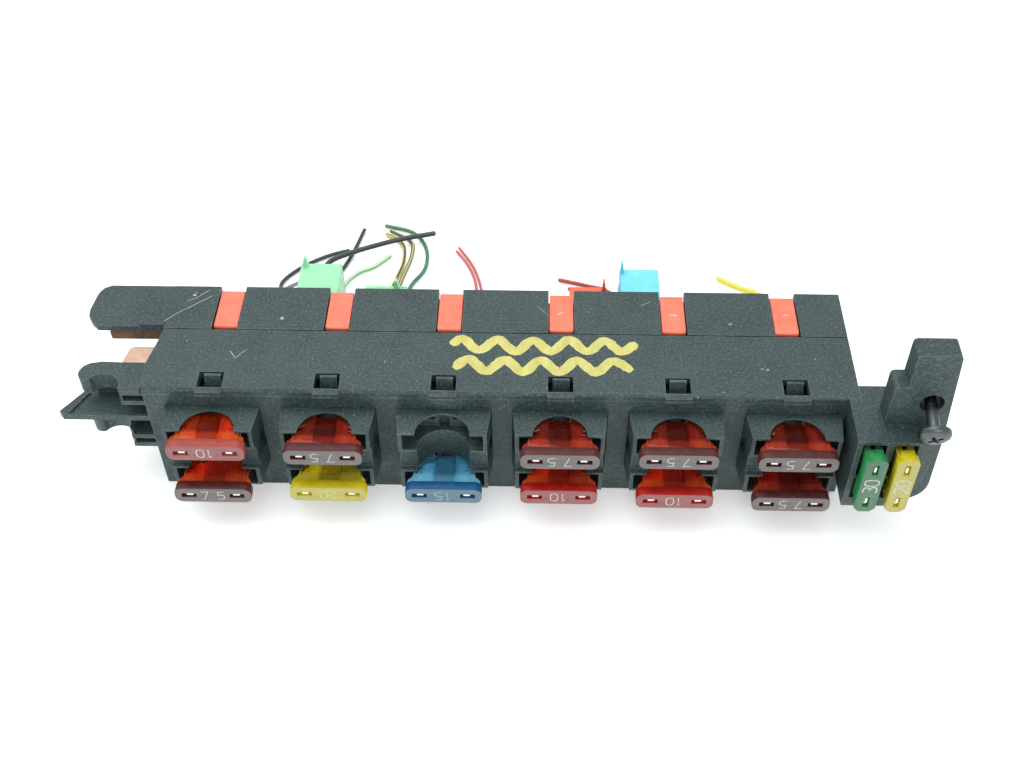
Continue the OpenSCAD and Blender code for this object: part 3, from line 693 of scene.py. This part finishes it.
def fuse_shell(name, corner, steps):
    """The clear body of a blade fuse, with its front face at y = 0 and its blades towards +y."""
    head, depth = HEAD_DEPTH, FUSE_DEPTH
    bm = bmesh.new()
    prism(bm, rounded_rect(FUSE_WIDTH, FUSE_THICK, corner, steps), 0, head, lambda u, v, w: (u, w, v))
    shell = link(name, from_bmesh(name, bm))
    bm = bmesh.new()
    shoulder = [(-9.3, head - 0.5), (9.3, head - 0.5), (9.0, 3.6), (7.7, 5.2), (-7.7, 5.2), (-9.0, 3.6)]
    prism(bm, shoulder, -SHOULDER_LEVEL, SHOULDER_LEVEL, lambda u, v, w: (u, v, w))
    boolean(shell, link("shoulder", from_bmesh("shoulder", bm)), "UNION")
    bm = bmesh.new()
    waist = [(-WAIST_HALF, head - 1), (-WAIST_HALF, depth - 0.8), (-7.2, depth), (-2.9, depth),
             (-2.6, depth - 0.9), (2.6, depth - 0.9), (2.9, depth), (7.2, depth),
             (WAIST_HALF, depth - 0.8), (WAIST_HALF, head - 1)]
    prism(bm, waist, -WAIST_LEVEL, WAIST_LEVEL, lambda u, v, w: (u, v, w))
    boolean(shell, link("waist", from_bmesh("waist", bm)), "UNION")
    bm = bmesh.new()
    for side in (-1, 1):
        add_box(bm, (side * 6 - 1.85, -1, -0.72), (side * 6 + 1.85, 1.3, 0.72))
        add_box(bm, (side * 5 - 2.75, 1.2, -0.6), (side * 5 + 2.75, depth + 1, 0.6))
    boolean(shell, link("cuts", from_bmesh("cuts", bm)))
    bm = bmesh.new()
    add_box(bm, (-2.3, 3.4, -1.35), (2.3, depth + 1, 1.35))
    boolean(shell, link("middle", from_bmesh("middle", bm)))
    bm = bmesh.new()
    for face in (-1, 1):
        add_box(bm, (-2.7, 4.6, face * 2.25 - 0.4), (2.7, depth + 1, face * 2.25 + 0.4))
        for side in (-1, 1):
            add_box(bm, (side * 6.1 - 0.6, 6.6, face * 2.3 - 0.9),
                    (side * 6.1 + 0.6, 7.8, face * 2.3 + 0.9))
    boolean(shell, link("recess", from_bmesh("recess", bm)))
    soften(shell, 0.2, 2, 30)
    apply_modifiers(shell)
    mesh = shell.data
    mesh.name = name
    mesh.materials.clear()
    shade(mesh, 40)
    for polygon in mesh.polygons:
        if polygon.center.y < 0.03 * MM and polygon.normal.y < -0.9:
            polygon.material_index = 1
        elif polygon.center.y < (head + 0.05) * MM and max(abs(v) for v in polygon.center.xz) > 2.3 * MM:
            polygon.material_index = 2
    bpy.data.objects.remove(shell)
    return mesh


def fuse_metal():
    """Two pointed blades with a stake hole in each, and the bent link between them."""
    bm = bmesh.new()
    half, full = BLADE_HALF, FUSE_FULL
    flat = lambda u, v, w: (u, v, w)
    for side in (-1, 1):
        x = side * BLADE_X
        outline = [(x - half, BLADE_START), (x + half, BLADE_START), (x + half, full - 1.6),
                   (x + half - 1.2, full), (x - half + 1.2, full), (x - half, full - 1.6)]
        prism(bm, outline, -BLADE_LEVEL, BLADE_LEVEL, flat)
    turns = [(-2.5, 5.6), (-1.7, 5.6)] + arc((-0.9, 6.4), 0.8, 180, 60, 5)
    turns += arc((0.5, 8.3), 1.2, 240, 370, 5) + [(1.75, 6.4), (2.5, 5.6)]
    near, far = [], []
    for i, point in enumerate(turns):
        back, ahead = Vector(turns[max(i - 1, 0)]), Vector(turns[min(i + 1, len(turns) - 1)])
        t = (ahead - back).normalized() * 0.42
        near.append((point[0] - t.y, point[1] + t.x))
        far.append((point[0] + t.y, point[1] - t.x))
    for i in range(len(turns) - 1):
        prism(bm, [near[i], near[i + 1], far[i + 1], far[i]], -0.2, 0.2, flat)
    core = link("fuse_metal", from_bmesh("fuse_metal", bm))
    bm = bmesh.new()
    for side in (-1, 1):
        add_box(bm, (side * 5.7 - 0.6, 6.9, -1), (side * 5.7 + 0.6, 8.1, 1))
    boolean(core, link("holes", from_bmesh("holes", bm)))
    mesh = core.data
    mesh.materials.clear()
    bpy.data.objects.remove(core)
    return mesh


def fuse_tips():
    """The blades' test points, seen in the two small windows of the front face."""
    bm = bmesh.new()
    for side in (-1, 1):
        add_box(bm, (side * 5.8 - 0.8, 0.35, -0.26), (side * 5.8 + 0.8, 0.95, 0.26))
    return from_bmesh("fuse_tips", bm)


# node suffix: (clear body, edge of the head, front face, digits, gap between digits, print,
#               turn of the digits in degrees)
FUSES = {
    "upper_1": ("red", "pink", "red", "10", 0.5, "print_white", 180),
    "upper_2": ("brown", "brown", "brown", "75", 2.2, "print_white", 180),
    "upper_4": ("brown", "brown", "brown", "75", 2.2, "print_white", 180),
    "upper_5": ("brown", "brown", "brown", "75", 2.2, "print_white", 180),
    "upper_6": ("brown", "brown", "brown", "75", 2.2, "print_white", 180),
    "lower_1": ("red", "brown", "brown", "75", 2.2, "print_white", 0),
    "lower_2": ("yellow", "yellow", "yellow", "20", 0.5, "print_yellow", 180),
    "lower_3": ("blue", "blue", "blue", "15", 0.5, "print_blue", 180),
    "lower_4": ("red", "red", "red", "10", 0.5, "print_white", 180),
    "lower_5": ("red", "red", "red", "10", 0.5, "print_white", 180),
    "lower_6": ("brown", "brown", "brown", "75", 2.2, "print_white", 180),
    "side_1": ("green", "green", "green", "30", 0.5, "print_white", 180),
    "side_2": ("yellow", "yellow", "yellow", "20", 0.5, "print_white", 180),
}


def make_fuses():
    round_shell = fuse_shell("fuse_shell", *ROUND_CORNER)
    cut_shell = fuse_shell("fuse_shell_cut", *CUT_CORNER)
    metal_mesh, tips_mesh = fuse_metal(), fuse_tips()
    for suffix, (tint, edge, face, digits, gap, ink, turn) in FUSES.items():
        node = "fuse_" + suffix
        upright = suffix.startswith("side")
        low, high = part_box(node)
        place = Matrix.Translation(((low.x + high.x) / 2, low.y, (low.z + high.z) / 2))
        if upright:
            place = place @ Matrix.Rotation(math.radians(90), 4, "Y")
        size = UPRIGHT_PRINT if upright else FRONT_PRINT
        shell = link(node + "_shell", (cut_shell if upright else round_shell).copy(), node + "_unit")
        core = link(node + "_metal", metal_mesh.copy(), node + "_unit")
        tips = link(node + "_tips", tips_mesh.copy(), node + "_unit")
        rating = link(node + "_rating", rating_mesh(digits, gap, *size), node + "_unit")
        for obj, materials in ((shell, (tint + "_fuse", face + "_face", edge + "_flange")),
                               (core, ("tinned_metal",)), (tips, ("tinned_metal",)), (rating, (ink,))):
            for material in materials:
                obj.data.materials.append(MATERIALS[material])
            obj.matrix_world = place
        rating.matrix_world = place @ Matrix.Rotation(math.radians(turn), 4, "Y")
        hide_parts(node)
        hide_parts("element_" + suffix)
        soften(core, 0.1, 1, 30)


# ---------------------------------------------------------------- marks on the cover

def squiggle(points, steps=8):
    """A smooth line through the given points."""
    line = [Vector(p) for p in [points[0]] + points + [points[-1]]]
    path = []
    for i in range(1, len(line) - 2):
        p0, p1, p2, p3 = line[i - 1:i + 3]
        for k in range(steps):
            t = k / steps
            path.append(0.5 * (2 * p1 + (p2 - p0) * t + (2 * p0 - 5 * p1 + 4 * p2 - p3) * t ** 2
                               + (3 * p1 - p0 - 3 * p2 + p3) * t ** 3))
    return path + [line[-1]]


def brush_stroke(bm, points, width, level, rng):
    """A closed, slightly raised stroke with uneven edges and thinner ends."""
    path = squiggle(points)
    profile = ((1.0, -0.05), (1.0, 0.01), (0.7, 0.05), (0.0, 0.07), (-0.7, 0.05), (-1.0, 0.01), (-1.0, -0.05))
    rows = []
    for i, here in enumerate(path):
        ahead = (path[min(i + 1, len(path) - 1)] - path[max(i - 1, 0)]).normalized()
        normal = Vector((-ahead.y, ahead.x))
        taper = min(1.0, 0.5 + 0.2 * min(i, len(path) - 1 - i))
        left, right = (width / 2 * taper * rng.uniform(0.84, 1.06) for _ in range(2))
        rows.append([bm.verts.new(mm(*(here + normal * u * (left if u > 0 else right)), level + h))
                     for u, h in profile])
    count = len(profile)
    for a, b in zip(rows, rows[1:]):
        for k in range(count):
            n = (k + 1) % count
            bm.faces.new((a[k], a[n], b[n], b[k]))
    bm.faces.new(rows[0])
    bm.faces.new(rows[-1][::-1])


def nick(bm, x, y, size, level, rng):
    """A small ragged dent mark, as a thin closed flake."""
    count = 9
    outline = [(x + size * rng.uniform(0.45, 1.0) * math.cos(2 * math.pi * k / count),
                y + size * rng.uniform(0.35, 0.8) * math.sin(2 * math.pi * k / count))
               for k in range(count)]
    prism(bm, outline, level - 0.05, level + 0.02, lambda u, v, w: (u, v, w))


def marks_piece(name, bm, body, material, smooth=None):
    piece = link(name, from_bmesh(name, bm, smooth), body)
    piece.data.materials.append(MATERIALS[material])


def make_marks():
    """Generic wavy paint strokes, and the scratches and nicks on the cover, rail and lock bars."""
    rng = random.Random(7)
    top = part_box("top_cover")[1].z / MM
    bm = bmesh.new()
    for points in MARKER_STROKES:
        brush_stroke(bm, points, MARKER_WIDTH, top, rng)
    marks_piece("marker_strokes", bm, "panel", "marker_paint", 60)
    bm = bmesh.new()
    for points, width in SCRATCHES:
        brush_stroke(bm, points, width, top, rng)
    for x, y, size in NICKS:
        nick(bm, x, y, size, top, rng)
    marks_piece("scratches", bm, "panel", "scuff_grey")
    bm = bmesh.new()
    for x, y, size in PALE_NICKS:
        nick(bm, x, y, size, top, rng)
    marks_piece("pale_nicks", bm, "panel", "scuff_pale")
    for i, (dx, dy) in LOCK_NICKS.items():
        low, high = (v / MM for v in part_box(f"lock_{i}"))
        bm = bmesh.new()
        x, y = (low.x + high.x) / 2 + dx, (low.y + high.y) / 2 + dy
        for k in range(3):
            nick(bm, x + 0.5 * k - 0.5, y + rng.uniform(-0.4, 0.4), 0.42, high.z, rng)
        marks_piece(f"lock_{i}_nicks", bm, f"lock_{i}_bar", "scuff_pale")


# Marker strokes, scratches and nicks on the cover and rail, in millimetres
MARKER_WIDTH = 2.9
MARKER_STROKES = [
    [(-13, -2.2), (-10.5, 0.2), (-6, -3.8), (-1.5, 0.1), (3, -4.1), (7.5, 0.0), (12, -3.9), (16.5, 0.3),
     (21, -3.8), (25.5, 0.1), (29.5, -3.6), (33.5, -0.6)],
    [(-12, -10.4), (-8.5, -6.9), (-4, -11.0), (0.5, -7.0), (5, -11.1), (9.5, -7.0), (14, -11.0),
     (18.5, -7.0), (23, -10.9), (27.5, -7.0), (32, -10.4)],
]
SCRATCHES = [
    ([(-68.6, -5.1), (-67.6, -6.6), (-66.8, -7.6), (-65.6, -6.0), (-64.4, -4.7)], 0.26),
    ([(-87.5, 4.8), (-84.8, 7.8), (-81.7, 10.5), (-76.7, 14.7)], 0.24),
    ([(-83, 12.6), (-80.4, 14.2), (-77.6, 17.2)], 0.2),
    ([(-29.4, -8.9), (-29.2, -7.6)], 0.2),
    ([(34.6, 12.9), (37.7, 14.6)], 0.2),
    ([(8.4, 12.4), (11.2, 9.2)], 0.14),
]
NICKS = [(-80.0, -2.0, 0.26), (-57.2, 6.8, 0.8), (57.7, 6.7, 0.62), (21.5, 10.6, 0.3), (65.5, -9.3, 0.6),
         (64.2, -9.0, 0.4), (77.7, -5.3, 0.3), (-23.5, -8.6, 0.2), (-79.5, 15.4, 0.3), (-78.2, 16.3, 0.25)]
PALE_NICKS = [(-81.2, 15.0, 0.55), (-80.9, 15.9, 0.3)]
LOCK_NICKS = {4: (-0.2, -0.3), 5: (0.3, -0.6), 6: (0.2, 0.4)}


# ---------------------------------------------------------------- screw and connectors

def lathe(bm, profile, sides, place):
    """Turns a (radius, height) profile about place's Z; it closes on itself unless it starts on the axis."""
    rings = []
    for radius, height in profile:
        rings.append([bm.verts.new(place @ mm(radius * math.cos(2 * math.pi * k / sides),
                                              radius * math.sin(2 * math.pi * k / sides), height))
                      for k in range(sides if radius else 1)])
    pairs = list(zip(rings, rings[1:]))
    if profile[0][0]:
        pairs.append((rings[-1], rings[0]))
    for near, far in pairs:
        for k in range(sides):
            n = (k + 1) % sides
            corners = [near[k % len(near)], near[n % len(near)], far[n % len(far)], far[k % len(far)]]
            bm.faces.new(dict.fromkeys(corners))


def make_screw():
    """Pan-head screw with a cross recess, a plain shank and a rolled thread."""
    shank, thread, pitch = 14.2, 3.4, 0.9
    root, crest = 1.32, 1.75
    bm = bmesh.new()
    lathe(bm, [(0, 0), (3.6, 0), (3.85, 0.2), (3.85, 1.05), (3.6, 1.6), (3.0, 2.0), (2.0, 2.2), (0, 2.3)],
          48, Matrix.Identity(4))
    head = link("screw_head", from_bmesh("screw_head", bm))
    recess = [(-2.2, 2.6), (2.2, 2.6), (1.2, 1.2), (0.5, 0.9), (-0.5, 0.9), (-1.2, 1.2)]
    for turn in (0, 90):
        bm = bmesh.new()
        prism(bm, recess, -0.42, 0.42, lambda u, v, w: (u, w, v))
        slot = link("slot", from_bmesh("slot", bm))
        slot.rotation_euler.z = math.radians(turn)
        boolean(head, slot)
    bm = bmesh.new()
    bm.from_mesh(head.data)
    bpy.data.objects.remove(head)
    down = Matrix.Rotation(math.pi, 4, "X")
    lathe(bm, [(0, -0.3), (1.45, -0.3), (1.45, shank), (root, shank + 0.4), (root, shank + thread),
               (0.35, shank + thread + 1.1), (0, shank + thread + 1.15)], 32, down)
    steps, start = 20, shank + 0.3
    rings = []
    for k in range(int(steps * (thread - 0.3) / pitch) + 1):
        a, h = 2 * math.pi * k / steps, start + pitch * k / steps
        rings.append([bm.verts.new(down @ mm(r * math.cos(a), r * math.sin(a), h + rise))
                      for r, rise in ((root - 0.1, -0.3), (crest, -0.05), (crest, 0.05), (root - 0.1, 0.3))])
    for near, far in zip(rings, rings[1:]):
        for k in range(4):
            n = (k + 1) % 4
            bm.faces.new((near[k], near[n], far[n], far[k]))
    bm.faces.new(rings[0][::-1])
    bm.faces.new(rings[-1])
    mount = next(m for m in frame["record"]["mounts"] if m["name"] == "screw_end")
    axis = Vector(mount["axis"]).normalized()
    under_head = Vector(mount["pos_m"]) - axis * (shank + thread / 2) * MM
    turn = (-axis).to_track_quat("Z", "Y").to_matrix().to_4x4()
    bm.transform(Matrix.Translation(under_head) @ turn @ Matrix.Rotation(math.radians(35), 4, "Z"))
    piece = link("pan_head_screw", from_bmesh("pan_head_screw", bm, 35), "loose_screw")
    piece.data.materials.append(MATERIALS["screw_steel"])
    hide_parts("screw")


def make_connector_details():
    """A raised rim on every connector's rear face, and a grommet round every wire."""
    rim, proud = 0.7, 0.3
    for node, colour in CONNECTORS.items():
        low, high = (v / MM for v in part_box(node))
        body = node + "_plug"
        bm = bmesh.new()
        for x0, x1, z0, z1 in ((low.x, high.x, CONNECTOR_LOW, CONNECTOR_LOW + rim),
                               (low.x, high.x, CONNECTOR_TOP - rim, CONNECTOR_TOP),
                               (low.x, low.x + rim, CONNECTOR_LOW + rim, CONNECTOR_TOP - rim),
                               (high.x - rim, high.x, CONNECTOR_LOW + rim, CONNECTOR_TOP - rim)):
            add_box(bm, (x0, high.y - 0.05, z0), (x1, high.y + proud, z1))
        for name, (diameter, points) in ROUTES.items():
            if WIRES[name][1] != body:
                continue
            inner, outer = diameter / 2 + 0.03, diameter / 2 + 0.55
            place = Matrix.Translation(mm(*points[0])) @ Matrix.Rotation(math.radians(-90), 4, "X")
            lathe(bm, [(inner, -0.3), (outer, -0.3), (outer, 0.25), (outer - 0.12, 0.45),
                       (outer - 0.35, 0.75), (inner, 0.75)], 20, place)
        piece = link(node + "_trim", from_bmesh(node + "_trim", bm, 40), body)
        piece.data.materials.append(MATERIALS[colour])


CONNECTOR_LOW, CONNECTOR_TOP = 16, 30
CONNECTORS = {"connector_green_1": "green_connector", "connector_green_2": "green_connector",
              "connector_black_1": "black_connector", "connector_red": "red_connector",
              "connector_blue": "blue_connector", "connector_black_2": "black_connector"}


# ---------------------------------------------------------------- CAD nodes

def dress_cad():
    for entry in frame["record"]["subparts"]:
        if entry["material_slot"] in MATERIALS:
            paint_node(entry["node"], entry["material_slot"])
    for name in ["housing", "top_cover", "connector_rail"] + [f"fuse_holder_{i}" for i in range(1, 7)]:
        soften(NODES[name], 0.18, 2)
    for i in range(1, 7):
        soften(NODES[f"lock_{i}"], 0.5, 3)
    for name in NODES:
        if name.startswith("connector_") and name != "connector_rail":
            soften(NODES[name], 0.35, 3)
    for name in ("busbar_upper", "busbar_lower", "terminals", "contact_pins"):
        soften(NODES[name], 0.08, 1)
    # The upper busbar under the lug takes the darker copper: painted shade together with tarnish.
    paint_node("busbar_upper", "copper_dark")


make_camera()
make_materials()
for wire_name in WIRES:
    wire(wire_name)
make_stage()
dress_cad()
make_fuses()
make_marks()
make_screw()
make_connector_details()
